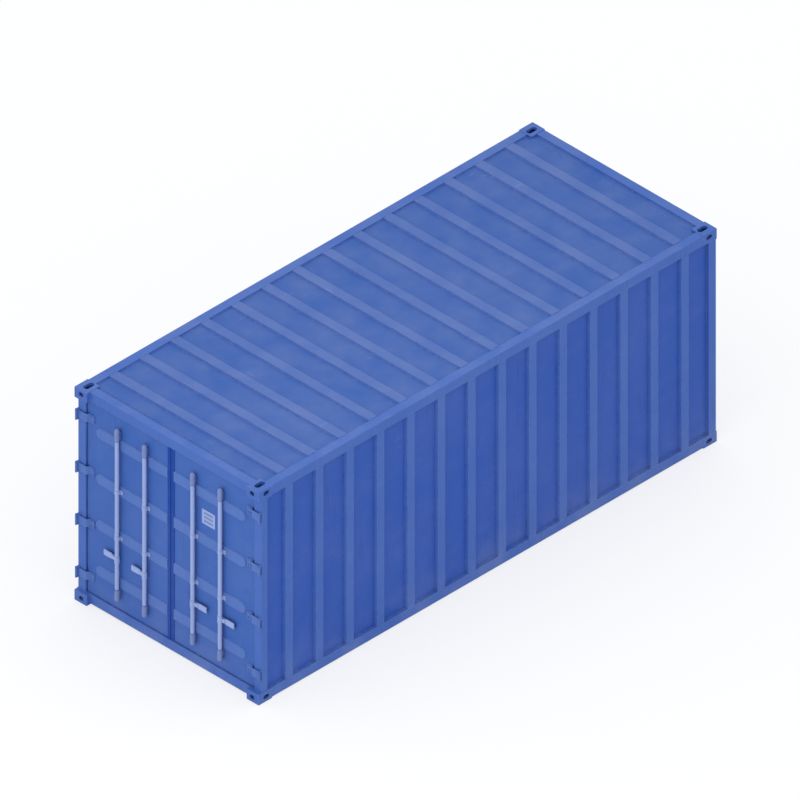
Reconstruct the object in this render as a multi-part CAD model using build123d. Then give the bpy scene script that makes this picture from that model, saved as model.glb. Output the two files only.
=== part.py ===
from build123d import *
from math import ceil, hypot
import os

# A dry freight container, 20 feet long and 8 feet high, in millimetres.
# +X runs from the doors to the closed end, +Z is up, and the origin is on the
# ground under the middle. Left and right are as seen by someone facing the doors,
# so the left door is on the +Y side.

# Outer size over the corner castings
overall_length = 6058.0
overall_width = 2438.0
overall_height = 2438.0

# Corner castings, with a locking slot in the level face and a hole in the side and end
casting_length = 178.0
casting_width = 162.0
casting_height = 118.0
casting_level_wall = 28.5
casting_outer_wall = 16.0
casting_inner_wall = 12.0
casting_edge = 4.0
slot_end_inset = 102.5
slot_side_inset = 89.5
slot_length = 124.0
slot_width = 63.5
side_hole_length = 79.4
end_hole_width = 63.5
casting_hole_height = 51.0

# How far the frame stands behind the faces of the castings
door_end_setback = 44.0
frame_setback = 4.0
roof_setback = 6.0
base_clearance = 12.5

# Corner posts
post_width = 102.0
door_post_depth = 82.0
closed_post_depth = 98.0
post_wall = 6.0
post_corner = 10.0

# Rails, header and sill
door_rail_depth = 92.0
closed_rail_depth = 100.0
end_rail_wall = 4.0
top_rail_width = 100.0
top_rail_wall = 3.0
rail_corner = 8.0
bottom_rail_wall = 4.5
bottom_rail_top_flange = 50.0
bottom_rail_foot = 35.0

# Pressed ribs of the walls and the roof
sheet = 2.0
wall_setback = 4.0
rib_pitch = 402.5
rib_face = 95.0
rib_slope = 11.0
rib_depth = 30.0
rib_end_margin = 150.0
roof_rib_face = 102.0
roof_rib_slope = 10.0
roof_rib_depth = 20.0

# Floor
floor_thickness = 28.0
floor_board_count = 5
floor_board_gap = 3.0
cross_member_pitch = 340.0
cross_member_flange = 45.0
cross_member_wall = 4.0
cross_member_end_gap = 60.0

# Doors
door_face_depth = 65.0
door_edge_gap = 8.0
door_middle_gap = 16.0
door_sheet = 3.0
door_frame_depth = 47.0
door_frame_wall = 4.0
door_stile = 90.0
door_inner_stile = 60.0
door_rail = 90.0
middle_strip_width = 84.0
bead_height = 125.0
bead_end_inset = 306.0
bead_count = 4
bead_reach = 990.0
bead_relief = 12.0
bead_slope = 8.0
seal_proud = 8.0
seal_lip = 3.0
seal_lip_depth = 22.0

# Hinges
hinge_count = 4
hinge_end_inset = 190.0
hinge_pin_inset = 12.0
hinge_pin_radius = 6.5
hinge_pin_head = 9.0
hinge_pin_head_height = 4.0
hinge_eye_radius = 11.0
hinge_running_gap = 0.3
hinge_side_gap = 1.0
hinge_blade_height = 90.0
hinge_lug_thickness = 12.0
hinge_lug_spread = 14.0
hinge_blade_thickness = 8.0
hinge_blade_offset = 17.0
hinge_bend_start = 8.0
hinge_bend_run = 24.0
hinge_tab_length = 62.0

# Locking bars, in four bearings each
bar_radius = 21.0
bar_wall = 4.0
bar_depth = 27.0
outer_bar_offset = 681.0
inner_bar_offset = 318.0
bar_running_gap = 0.5
bar_end_gap = 0.8
bearing_wall = 3.5
bearing_web = 18.0
bearing_web_drop = 26.0
bearing_bead_gap = 2.0
bearing_end_wall = 24.0
bearing_end_height = 232.0
guide_length = 44.0
guide_foot_half_width = 52.0
guide_foot_thickness = 6.0

# Handles, each pinned between two ears of the bar's hub
handle_height = 712.0
hub_wall = 5.0
hub_length = 74.0
ear_thickness = 6.0
ear_radius = 20.0
ear_offset = 7.0
handle_pivot_reach = 50.0
handle_pin_radius = 7.0
handle_thickness = 12.0
handle_side_gap = 0.4
handle_reach = 178.0
handle_half_height = 30.0
handle_shoulder = 30.0
handle_corner = 8.0
rest_thickness = 5.0
rest_width = 32.0
rest_from_tip = 14.0
rest_height = 40.0
rest_gap = 0.3

# Safety plate on the right door
plate_offset = 493.0
plate_width = 174.0
plate_height = 166.0
plate_thickness = 3.0
plate_line_length = 118.0
plate_line_height = 22.0
plate_line_pitch = 45.0
plate_line_depth = 1.0
plate_line_count = 3

# Places that follow from the sizes above
end_x = overall_length / 2
side_y = overall_width / 2
door_plane = -end_x + door_end_setback
front_plane = end_x - frame_setback
side_plane = side_y - frame_setback
roof_plane = overall_height - roof_setback
lower_joint = casting_height
upper_joint = overall_height - casting_height
between_castings_x = end_x - casting_length
between_castings_y = side_y - casting_width
opening_half_width = side_plane - post_width
middle_height = overall_height / 2

door_face = -end_x + door_face_depth
door_outer_edge = opening_half_width - door_edge_gap
door_inner_edge = door_middle_gap / 2
strip_edge = middle_strip_width / 2
door_bottom = lower_joint + door_edge_gap
door_top = upper_joint - door_edge_gap
door_back = door_face + door_sheet + door_frame_depth

hinge_x = -end_x + hinge_pin_inset
hinge_y = side_y - hinge_pin_inset
bar_x = -end_x + bar_depth
bore_radius = bar_radius + bar_running_gap
bearing_radius = bore_radius + bearing_wall
bearing_top_height = overall_height - bearing_end_height
lowest_bead = door_bottom + bead_end_inset
bead_pitch = (door_top - door_bottom - 2 * bead_end_inset) / (bead_count - 1)
bearing_length = lowest_bead - bead_height / 2 - bearing_bead_gap - bearing_end_height
plate_middle_height = lowest_bead + (bead_count - 1.5) * bead_pitch


def box_between(x_range, y_range, z_range):
    """A box with its faces at the given limits."""
    low = (x_range[0], y_range[0], z_range[0])
    size = (x_range[1] - low[0], y_range[1] - low[1], z_range[1] - low[2])
    return Pos(*low) * Box(*size, align=(Align.MIN, Align.MIN, Align.MIN))


def outline(points):
    """A flat face inside a closed line of straight runs."""
    return make_face(Polyline(*points, close=True))


def plane_across(axis, start, first, second):
    """A sketch plane across an axis; its own axes are the next two in X, Y, Z order."""
    if axis == "X":
        return Plane(origin=(start, first, second), x_dir=(0, 1, 0), z_dir=(1, 0, 0))
    if axis == "Y":
        return Plane(origin=(second, start, first), x_dir=(0, 0, 1), z_dir=(0, 1, 0))
    return Plane(origin=(first, second, start), x_dir=(1, 0, 0), z_dir=(0, 0, 1))


def square_tube(axis, along, first_range, second_range, wall, corner):
    """A rounded hollow section running along one axis."""
    first_size = first_range[1] - first_range[0]
    second_size = second_range[1] - second_range[0]
    plane = plane_across(axis, along[0], sum(first_range) / 2, sum(second_range) / 2)
    outside = RectangleRounded(first_size, second_size, corner)
    inside_corner = max(corner - wall, 0.5)
    inside = RectangleRounded(first_size - 2 * wall, second_size - 2 * wall, inside_corner)
    return extrude(plane * (outside - inside), along[1] - along[0])


def pressed_profile(low, high, face, slope, depth, thickness):
    """Points of a ribbed sheet, as (place along, depth behind the rib faces).

    The ribs are spread evenly about the middle of the container.
    """
    base = face + 2 * slope
    shorter_half = min(-low, high)
    count = int((2 * shorter_half - base - 2 * rib_end_margin) // rib_pitch) + 1
    first = -(count - 1) / 2 * rib_pitch
    shift = thickness * (hypot(slope, depth) - slope) / depth
    outer = [(low, depth)]
    inner = [(low, depth + thickness)]
    for number in range(count):
        centre = first + number * rib_pitch
        foot = base / 2
        crest = face / 2
        outer += [(centre - foot, depth), (centre - crest, 0.0)]
        outer += [(centre + crest, 0.0), (centre + foot, depth)]
        inner += [(centre - foot + shift, depth + thickness), (centre - crest + shift, thickness)]
        inner += [(centre + crest - shift, thickness), (centre + foot - shift, depth + thickness)]
    outer.append((high, depth))
    inner.append((high, depth + thickness))
    return outer + inner[::-1]


def casting_box(end, side, level):
    """The full block of one casting: end, side and level are each -1 or 1."""
    x_limits = sorted((end * end_x, end * between_castings_x))
    y_limits = sorted((side * side_y, side * between_castings_y))
    z_limits = (0.0, lower_joint) if level < 0 else (upper_joint, overall_height)
    return box_between(x_limits, y_limits, z_limits)


def corner_casting(end, side, level):
    """A hollow casting with a slot in its level face and holes in its side and end."""
    level_face = 0.0 if level < 0 else overall_height
    cavity_x = (between_castings_x + casting_inner_wall, end_x - casting_outer_wall)
    cavity_y = (between_castings_y + casting_inner_wall, side_y - casting_outer_wall)
    cavity_z = (casting_level_wall, casting_height - casting_inner_wall)
    cavity = box_between(
        sorted(end * x for x in cavity_x),
        sorted(side * y for y in cavity_y),
        sorted(level_face - level * z for z in cavity_z),
    )
    slot_x = end * (end_x - slot_end_inset)
    slot_y = side * (side_y - slot_side_inset)
    hole_z = level_face - level * (casting_level_wall + casting_hole_height / 2)
    level_slot = SlotOverall(slot_length, slot_width)
    side_hole = Plane.XZ * SlotOverall(side_hole_length, casting_hole_height)
    end_hole = Plane.YZ * SlotOverall(end_hole_width, casting_hole_height)
    block = casting_box(end, side, level)
    body = fillet(block.edges(), casting_edge) - cavity
    body -= Pos(slot_x, slot_y, level_face) * extrude(level_slot, casting_level_wall, both=True)
    body -= Pos(slot_x, side * side_y, hole_z) * extrude(side_hole, casting_outer_wall, both=True)
    body -= Pos(end * end_x, slot_y, hole_z) * extrude(end_hole, casting_outer_wall, both=True)
    return body


def hinge_heights():
    """Middle heights of the hinges of one door."""
    low = door_bottom + hinge_end_inset
    high = door_top - hinge_end_inset
    return [low + (high - low) * number / (hinge_count - 1) for number in range(hinge_count)]


def hinge_lugs(height):
    """Two lugs with a headed pin, on the left rear post."""
    eye = Pos(hinge_x, hinge_y) * Circle(hinge_eye_radius)
    root = outline([
        (hinge_x, hinge_y - hinge_eye_radius),
        (door_plane, hinge_y - hinge_eye_radius - hinge_lug_spread),
        (door_plane, side_plane),
        (hinge_x, side_plane),
    ])
    lug = extrude(eye + root, hinge_lug_thickness)
    lug_start = hinge_blade_height / 2 + hinge_side_gap
    pin_half = lug_start + hinge_lug_thickness + hinge_pin_head_height
    head_start = lug_start + hinge_lug_thickness
    lower_lug = Pos(0, 0, height - lug_start - hinge_lug_thickness) * lug
    upper_lug = Pos(0, 0, height + lug_start) * lug
    pin = Pos(hinge_x, hinge_y, height) * Cylinder(hinge_pin_radius, 2 * pin_half)
    head = Cylinder(hinge_pin_head, hinge_pin_head_height, align=(Align.CENTER, Align.CENTER, Align.MIN))
    lower_head = Pos(hinge_x, hinge_y, height - head_start - hinge_pin_head_height) * head
    upper_head = Pos(hinge_x, hinge_y, height + head_start) * head
    return lower_lug + upper_lug + pin + lower_head + upper_head


def left_rear_post():
    """The post that carries the left door's hinges."""
    x_limits = (door_plane, door_plane + door_post_depth)
    y_limits = (opening_half_width, side_plane)
    post = square_tube("Z", (lower_joint, upper_joint), x_limits, y_limits, post_wall, post_corner)
    for height in hinge_heights():
        post += hinge_lugs(height)
    return post


def left_front_post():
    """The post at the closed end."""
    x_limits = (front_plane - closed_post_depth, front_plane)
    y_limits = (opening_half_width, side_plane)
    return square_tube("Z", (lower_joint, upper_joint), x_limits, y_limits, post_wall, post_corner)


def end_rail(x_limits, z_limits):
    """A hollow rail across an end, between two castings."""
    across = (-between_castings_y, between_castings_y)
    return square_tube("Y", across, z_limits, x_limits, end_rail_wall, rail_corner)


def left_top_rail():
    """The hollow rail along the roof's left edge."""
    along = (-between_castings_x, between_castings_x)
    y_limits = (side_plane - top_rail_width, side_plane)
    return square_tube("X", along, y_limits, (upper_joint, roof_plane), top_rail_wall, rail_corner)


def left_bottom_rail():
    """The channel along the floor's left edge, open to the inside."""
    web = side_plane - bottom_rail_wall
    top_edge = side_plane - bottom_rail_top_flange
    foot_edge = side_plane - bottom_rail_foot
    section = outline([
        (side_plane, base_clearance),
        (side_plane, lower_joint),
        (top_edge, lower_joint),
        (top_edge, lower_joint - bottom_rail_wall),
        (web, lower_joint - bottom_rail_wall),
        (web, base_clearance + bottom_rail_wall),
        (foot_edge, base_clearance + bottom_rail_wall),
        (foot_edge, base_clearance),
    ])
    plane = plane_across("X", -between_castings_x, 0.0, 0.0)
    return extrude(plane * section, 2 * between_castings_x)


def left_wall():
    """The ribbed side wall between two posts and two rails."""
    low = door_plane + door_post_depth
    high = front_plane - closed_post_depth
    face = side_plane - wall_setback
    profile = pressed_profile(low, high, rib_face, rib_slope, rib_depth, sheet)
    section = outline([(along, face - depth) for along, depth in profile])
    return Pos(0, 0, lower_joint) * extrude(section, upper_joint - lower_joint)


def front_wall():
    """The ribbed wall of the closed end."""
    face = front_plane - wall_setback
    profile = pressed_profile(
        -opening_half_width, opening_half_width, rib_face, rib_slope, rib_depth, sheet
    )
    section = outline([(face - depth, along) for along, depth in profile])
    return Pos(0, 0, lower_joint) * extrude(section, upper_joint - lower_joint)


def roof():
    """The ribbed roof between the rails, as long as the space between the castings."""
    profile = pressed_profile(
        -between_castings_x, between_castings_x, roof_rib_face, roof_rib_slope, roof_rib_depth, sheet
    )
    section = outline([(along, roof_plane - depth) for along, depth in profile])
    return extrude(Plane.XZ * section, side_plane - top_rail_width, both=True)


def between_castings(z_range):
    """Flat pieces between the castings of each end, from the end rail to where the long ones begin."""
    across = (-between_castings_y, between_castings_y)
    door_end = (door_plane + door_rail_depth, -between_castings_x)
    closed_end = (between_castings_x, front_plane - closed_rail_depth)
    return [box_between(along, across, z_range) for along in (door_end, closed_end)]


def roof_end_plates():
    """The flat plates that close the roof between the castings."""
    low_face = roof_plane - roof_rib_depth
    return between_castings((low_face - sheet, low_face))


def floor_boards():
    """Plywood boards side by side along the floor, with a short one between the castings of each end."""
    z_limits = (lower_joint - floor_thickness, lower_joint)
    half_width = side_plane - bottom_rail_top_flange
    gaps = (floor_board_count - 1) * floor_board_gap
    board = (2 * between_castings_x - gaps) / floor_board_count
    boards = between_castings(z_limits)
    for number in range(floor_board_count):
        start = -between_castings_x + number * (board + floor_board_gap)
        boards.append(box_between((start, start + board), (-half_width, half_width), z_limits))
    return boards


def cross_members():
    """Channels under the floor, from one bottom rail to the other."""
    half_span = between_castings_x - cross_member_end_gap
    gaps = ceil(2 * half_span / cross_member_pitch)
    low = base_clearance + bottom_rail_wall
    high = lower_joint - floor_thickness
    wall = cross_member_wall
    flange = cross_member_flange
    section = outline([
        (0, low), (flange, low), (flange, low + wall), (wall, low + wall),
        (wall, high - wall), (flange, high - wall), (flange, high), (0, high),
    ])
    channel = extrude(Plane.XZ * section, side_plane - bottom_rail_wall, both=True)
    first = -half_span - flange / 2
    return [Pos(first + 2 * half_span * number / gaps, 0, 0) * channel for number in range(gaps + 1)]


def bead_heights():
    """Middle heights of the pressed beads of a door."""
    return [lowest_bead + number * bead_pitch for number in range(bead_count)]


def bead_outline(x, height, inner_end, half_height):
    """A bead's outline at one depth: square at the middle of the doors, round at the hinges."""
    round_centre = bead_reach - bead_height / 2
    low = (x, inner_end, height - half_height)
    high = (x, inner_end, height + half_height)
    low_turn = (x, round_centre, height - half_height)
    high_turn = (x, round_centre, height + half_height)
    tip = (x, round_centre + half_height, height)
    lines = Line(low, low_turn) + ThreePointArc(low_turn, tip, high_turn)
    lines += Line(high_turn, high) + Line(high, low)
    return make_face(lines)


def bead_form(height, base_x, crest_x, inner_end, inset):
    """The solid form of one bead, sloping in towards its crest."""
    foot = bead_outline(base_x, height, inner_end, bead_height / 2 - inset)
    crest = bead_outline(crest_x, height, inner_end, bead_height / 2 - bead_slope - inset)
    return loft([foot, crest], ruled=True)


def left_door_panel():
    """The door's outer sheet with its pressed beads."""
    inner_face = door_face + door_sheet
    crest = door_face - bead_relief
    inset = door_sheet * (hypot(bead_slope, bead_relief) - bead_slope) / bead_relief
    panel = box_between((door_face, inner_face), (strip_edge, door_outer_edge), (door_bottom, door_top))
    for height in bead_heights():
        panel += bead_form(height, door_face, crest, strip_edge, 0.0)
    for height in bead_heights():
        panel -= bead_form(height, inner_face, crest + door_sheet, strip_edge + door_sheet, inset)
    return panel


def left_door_frame():
    """A ring of channels behind the sheet, open to the middle of the door."""
    front = door_face + door_sheet
    ring = box_between((front, door_back), (door_inner_edge, door_outer_edge), (door_bottom, door_top))
    window = box_between(
        (front, door_back),
        (door_inner_edge + door_inner_stile, door_outer_edge - door_stile),
        (door_bottom + door_rail, door_top - door_rail),
    )
    hollow = box_between(
        (front + door_frame_wall, door_back - door_frame_wall),
        (door_inner_edge + door_frame_wall, door_outer_edge - door_frame_wall),
        (door_bottom + door_frame_wall, door_top - door_frame_wall),
    )
    return ring - window - hollow


def left_door_seal():
    """The seal: a broad strip up the middle edge and a lip round the whole frame."""
    front = door_face + door_sheet
    lip_y = (door_inner_edge - seal_lip, door_outer_edge + seal_lip)
    lip_z = (door_bottom - seal_lip, door_top + seal_lip)
    strip = box_between((door_face - seal_proud, front), (door_inner_edge - seal_lip, strip_edge), lip_z)
    lip = box_between((front, front + seal_lip_depth), lip_y, lip_z)
    frame = box_between(
        (front, front + seal_lip_depth), (door_inner_edge, door_outer_edge), (door_bottom, door_top)
    )
    return strip + (lip - frame)


def hinge_blade():
    """A cranked blade, from its eye round the pin to its tab on the door, at height zero."""
    blade_front = hinge_x + hinge_blade_offset
    blade_back = blade_front + hinge_blade_thickness
    tab_front = door_face - hinge_blade_thickness
    bend_y = door_outer_edge - hinge_bend_start
    foot_y = bend_y - hinge_bend_run
    tab_end = foot_y - hinge_tab_length
    shape = outline([
        (hinge_x, hinge_y - hinge_eye_radius),
        (blade_front, hinge_y - hinge_eye_radius),
        (blade_front, bend_y),
        (tab_front, foot_y),
        (tab_front, tab_end),
        (door_face, tab_end),
        (door_face, foot_y),
        (blade_back, bend_y),
        (blade_back, hinge_y),
        (hinge_x, hinge_y),
    ])
    shape += Pos(hinge_x, hinge_y) * Circle(hinge_eye_radius)
    shape -= Pos(hinge_x, hinge_y) * Circle(hinge_pin_radius + hinge_running_gap)
    return extrude(shape, hinge_blade_height / 2, both=True)


def left_hinge_blades():
    """All blades of the left door."""
    return [Pos(0, 0, height) * hinge_blade() for height in hinge_heights()]


def end_bearing(y, level):
    """The closed bearing round one end of a bar: a domed barrel with a web that slopes to the door."""
    far_end = middle_height + level * (middle_height - bearing_end_height)
    open_end = far_end - level * bearing_length
    bore_end = far_end - level * bearing_end_wall
    dome_middle = far_end - level * bearing_radius
    low, high = sorted((dome_middle, open_end))
    body = Pos(bar_x, y, (low + high) / 2) * Cylinder(bearing_radius, high - low)
    body += Pos(bar_x, y, dome_middle) * Sphere(bearing_radius)
    web = outline([
        (open_end, bar_x), (open_end, door_face),
        (dome_middle - level * bearing_web_drop, door_face), (dome_middle, bar_x),
    ])
    body += extrude(plane_across("Y", y - bearing_web / 2, 0.0, 0.0) * web, bearing_web)
    low, high = sorted((bore_end, open_end))
    return body - Pos(bar_x, y, (low + high) / 2) * Cylinder(bore_radius, high - low)


def bar_guide(y, height):
    """A guide round a bar, with its feet on a bead's crest."""
    crest = door_face - bead_relief
    loop = Pos(bar_x, y) * Circle(bearing_radius) + outline([
        (bar_x, y - bearing_radius), (crest, y - bearing_radius),
        (crest, y + bearing_radius), (bar_x, y + bearing_radius),
    ])
    feet = outline([
        (crest - guide_foot_thickness, y - guide_foot_half_width), (crest, y - guide_foot_half_width),
        (crest, y + guide_foot_half_width), (crest - guide_foot_thickness, y + guide_foot_half_width),
    ])
    plan = loop + feet - Pos(bar_x, y) * Circle(bore_radius)
    return Pos(0, 0, height) * extrude(plan, guide_length / 2, both=True)


def left_end_bearings():
    """The end bearings of both bars of the left door."""
    return [end_bearing(y, level) for y in (inner_bar_offset, outer_bar_offset) for level in (-1, 1)]


def left_bar_guides():
    """The guides of both bars of the left door, on the beads between the outermost two."""
    heights = bead_heights()[1:-1]
    return [bar_guide(y, height) for y in (inner_bar_offset, outer_bar_offset) for height in heights]


def handle_plane_x():
    """The depth of the middle of a handle."""
    return bar_x + ear_offset


def hub_with_ears(y):
    """The collar on a bar, with two ears and the pin that carries the handle."""
    collar = Pos(bar_x, y, handle_height) * Cylinder(bar_radius + hub_wall, hub_length)
    pivot_y = y + handle_pivot_reach
    ear_inner = handle_thickness / 2 + handle_side_gap
    ear_outer = ear_inner + ear_thickness
    ear_face = outline([
        (y, handle_height - ear_radius), (pivot_y, handle_height - ear_radius),
        (pivot_y, handle_height + ear_radius), (y, handle_height + ear_radius),
    ]) + Pos(pivot_y, handle_height) * Circle(ear_radius)
    front_ear = extrude(plane_across("X", handle_plane_x() - ear_outer, 0.0, 0.0) * ear_face, ear_thickness)
    back_ear = extrude(plane_across("X", handle_plane_x() + ear_inner, 0.0, 0.0) * ear_face, ear_thickness)
    pin_face = Pos(pivot_y, handle_height) * Circle(handle_pin_radius)
    pin = extrude(plane_across("X", handle_plane_x() - ear_outer, 0.0, 0.0) * pin_face, 2 * ear_outer)
    return collar + front_ear + back_ear + pin


def left_bar(y):
    """A locking bar: a tube with the handle's hub on it."""
    low = bearing_end_height + bearing_end_wall + bar_end_gap
    high = bearing_top_height - bearing_end_wall - bar_end_gap
    middle = (low + high) / 2
    bore = Pos(bar_x, y, middle) * Cylinder(bar_radius - bar_wall, high - low)
    tube = Pos(bar_x, y, middle) * Cylinder(bar_radius, high - low)
    return tube + hub_with_ears(y) - bore


def left_handle(y):
    """A flat handle, hanging on its pin and pointing towards the hinges."""
    pivot_y = y + handle_pivot_reach
    shoulder = pivot_y + handle_shoulder
    tip = y + handle_reach
    grip = outline([
        (pivot_y, handle_height - ear_radius), (shoulder, handle_height - handle_half_height),
        (tip, handle_height - handle_half_height), (tip, handle_height + handle_half_height),
        (shoulder, handle_height + handle_half_height), (pivot_y, handle_height + ear_radius),
    ])
    tip_corners = grip.vertices().sort_by(Axis.X)[-2:]
    grip = fillet(tip_corners, handle_corner)
    shape = grip + Pos(pivot_y, handle_height) * Circle(ear_radius)
    shape -= Pos(pivot_y, handle_height) * Circle(handle_pin_radius + hinge_running_gap)
    start = handle_plane_x() - handle_thickness / 2
    return extrude(plane_across("X", start, 0.0, 0.0) * shape, handle_thickness)


def left_handle_rest(y):
    """A bracket on the door, with a shelf under the handle's tip."""
    shelf_top = handle_height - handle_half_height - rest_gap
    shelf_front = handle_plane_x() - handle_thickness / 2
    y_limits = (y + handle_reach - rest_from_tip - rest_width, y + handle_reach - rest_from_tip)
    foot_x = (door_face - rest_thickness, door_face)
    foot = box_between(foot_x, y_limits, (shelf_top - rest_height, shelf_top))
    shelf = box_between((shelf_front, door_face), y_limits, (shelf_top - rest_thickness, shelf_top))
    return foot + shelf


def left_handle_rests():
    """The rests of both handles of the left door."""
    return [left_handle_rest(y) for y in (inner_bar_offset, outer_bar_offset)]


def safety_plate():
    """A plate with blank lines pressed into it, on the right door."""
    front = door_face - plate_thickness
    y_limits = (-plate_offset - plate_width / 2, -plate_offset + plate_width / 2)
    z_limits = (plate_middle_height - plate_height / 2, plate_middle_height + plate_height / 2)
    plate = box_between((front, door_face), y_limits, z_limits)
    for number in range(plate_line_count):
        height = plate_middle_height + (number - (plate_line_count - 1) / 2) * plate_line_pitch
        plate -= box_between(
            (front, front + plate_line_depth),
            (-plate_offset - plate_line_length / 2, -plate_offset + plate_line_length / 2),
            (height - plate_line_height / 2, height + plate_line_height / 2),
        )
    return plate


def mirrored(shape):
    """The same piece on the right side."""
    if isinstance(shape, list):
        return [mirror(one, about=Plane.XZ) for one in shape]
    return mirror(shape, about=Plane.XZ)


def save(name, shape):
    """Writes one node, from one solid or from several that don't touch."""
    if isinstance(shape, list):
        shape = Compound(children=[solid for one in shape for solid in one.solids()])
    export_step(shape, os.path.join("parts", name + ".step"))


def save_pair(name, shape):
    """Writes a left node and its mirror image on the right."""
    save("left_" + name, shape)
    save("right_" + name, mirrored(shape))


def build_frame():
    """The castings, posts and rails."""
    for end, end_name in ((-1, "door_end"), (1, "closed_end")):
        for side, side_name in ((1, "left"), (-1, "right")):
            for level, level_name in ((-1, "bottom"), (1, "top")):
                name = "_".join(("casting", end_name, side_name, level_name))
                save(name, corner_casting(end, side, level))
    low_z = (base_clearance, lower_joint)
    high_z = (upper_joint, roof_plane)
    door_x = (door_plane, door_plane + door_rail_depth)
    closed_x = (front_plane - closed_rail_depth, front_plane)
    save("door_header", end_rail(door_x, high_z))
    save("door_sill", end_rail(door_x, low_z))
    save("closed_end_top_rail", end_rail(closed_x, high_z))
    save("closed_end_bottom_rail", end_rail(closed_x, low_z))
    save_pair("door_end_post", left_rear_post())
    save_pair("closed_end_post", left_front_post())
    save_pair("top_side_rail", left_top_rail())
    save_pair("bottom_side_rail", left_bottom_rail())


def build_skin():
    """The walls, the roof and the floor."""
    save_pair("side_wall", left_wall())
    save("closed_end_wall", front_wall())
    save("roof", roof())
    save("roof_end_plates", roof_end_plates())
    save("floor_boards", floor_boards())
    save("floor_cross_members", cross_members())


def build_doors():
    """Both doors with their bars and handles."""
    save_pair("door_panel", left_door_panel())
    save_pair("door_frame", left_door_frame())
    save_pair("door_seal", left_door_seal())
    save_pair("hinge_blades", left_hinge_blades())
    save_pair("bar_end_bearings", left_end_bearings())
    save_pair("bar_guides", left_bar_guides())
    save_pair("handle_rests", left_handle_rests())
    for y, place in ((outer_bar_offset, "outer"), (inner_bar_offset, "inner")):
        save_pair(place + "_locking_bar", left_bar(y))
        save_pair(place + "_bar_handle", left_handle(y))
    save("safety_plate", safety_plate())


os.makedirs("parts", exist_ok=True)
build_frame()
build_skin()
build_doors()
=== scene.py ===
# %% [markdown]
# # A steel freight container
#
# The real object is a box of welded steel, 20 feet long. Corner castings and posts carry it,
# pressed sheets close it, and two doors swing on pins. Its solids are made already, at their
# real size. This notebook gives them their finish and adds what is too small to be a solid:
# weld beads, bolts, rivets, screws and lashing rings.
#
# The first cell loads the solids. They are never moved here. A solid sits with its object at
# the origin, so its own coordinates are places on the container in metres.

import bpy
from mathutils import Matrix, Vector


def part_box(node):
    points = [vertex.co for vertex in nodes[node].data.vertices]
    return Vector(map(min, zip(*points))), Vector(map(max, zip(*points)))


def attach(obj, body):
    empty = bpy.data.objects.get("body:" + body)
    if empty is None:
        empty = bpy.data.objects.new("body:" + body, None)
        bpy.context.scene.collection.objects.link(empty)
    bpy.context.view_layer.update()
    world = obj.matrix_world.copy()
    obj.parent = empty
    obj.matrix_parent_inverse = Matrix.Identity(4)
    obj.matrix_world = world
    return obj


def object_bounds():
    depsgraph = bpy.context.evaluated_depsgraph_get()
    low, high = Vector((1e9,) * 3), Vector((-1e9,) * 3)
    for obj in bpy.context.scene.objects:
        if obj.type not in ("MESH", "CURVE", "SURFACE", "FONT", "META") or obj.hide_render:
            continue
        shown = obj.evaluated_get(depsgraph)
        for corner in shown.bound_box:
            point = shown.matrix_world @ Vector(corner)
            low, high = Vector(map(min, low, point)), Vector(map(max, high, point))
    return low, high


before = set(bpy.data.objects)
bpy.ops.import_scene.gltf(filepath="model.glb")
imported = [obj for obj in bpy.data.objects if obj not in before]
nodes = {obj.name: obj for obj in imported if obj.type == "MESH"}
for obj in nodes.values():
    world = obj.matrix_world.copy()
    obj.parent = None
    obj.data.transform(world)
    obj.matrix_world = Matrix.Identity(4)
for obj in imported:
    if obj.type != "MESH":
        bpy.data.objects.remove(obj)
cad_low, cad_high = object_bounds()
print("container from", tuple(cad_low), "to", tuple(cad_high))

# %% Imports
import math
import random

import bpy
from mathutils import Matrix, Vector

# %% [markdown]
# ## The camera
#
# The drawing is isometric: all three directions are shortened alike, and parallel edges stay
# parallel. A perspective camera can't do that from any distance, so the camera is
# orthographic. Its height above the horizon is the angle whose sine is one over root three.
# The door end faces left and the long side faces right.

# %% Camera
PICTURE_WIDTH = 7.478
CAMERA_DISTANCE = 14.0
CAMERA_TURN = math.radians(45)
CAMERA_HEIGHT = math.asin(1 / math.sqrt(3))
PICTURE_RIGHT = 0.041
PICTURE_UP = 0.129


def toward(turn, height):
    """The way out from the container. A turn of 0 faces the right side, and 90 the doors."""
    level = math.cos(height)
    return Vector((-math.sin(turn) * level, -math.cos(turn) * level, math.sin(height)))


camera_data = bpy.data.cameras.new("camera")
camera_data.type = "ORTHO"
camera_data.ortho_scale = PICTURE_WIDTH
camera = bpy.data.objects.new("camera", camera_data)
bpy.context.scene.collection.objects.link(camera)
to_camera = toward(CAMERA_TURN, CAMERA_HEIGHT)
camera_turn = to_camera.to_track_quat("Z", "Y")
picture_shift = camera_turn @ Vector((PICTURE_RIGHT, PICTURE_UP, 0))
camera.rotation_euler = camera_turn.to_euler()
camera.location = (cad_low + cad_high) / 2 + picture_shift + to_camera * CAMERA_DISTANCE
bpy.context.scene.camera = camera
print("camera at", tuple(round(v, 2) for v in camera.location))

# %% [markdown]
# ## Building node trees
#
# Blender's shader nodes can be placed by hand or by code. Code pays off when many materials
# share a pattern. These helpers add a node, fill its sockets with numbers or with the output
# of another node, and hand back what the next step needs.

# %% Node helpers
FULL_LEVEL = 255
SCREEN_POWER = 2.4
SCREEN_OFFSET = 0.055
SCREEN_FOOT = 0.04045
SCREEN_FOOT_SLOPE = 12.92


def linear(red, green, blue):
    """A colour read off a screen, 0 to 255 per channel, as the linear values that light uses."""
    values = []
    for level in (red / FULL_LEVEL, green / FULL_LEVEL, blue / FULL_LEVEL):
        curved = ((level + SCREEN_OFFSET) / (1 + SCREEN_OFFSET)) ** SCREEN_POWER
        values.append(level / SCREEN_FOOT_SLOPE if level <= SCREEN_FOOT else curved)
    return (*values, 1.0)


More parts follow.
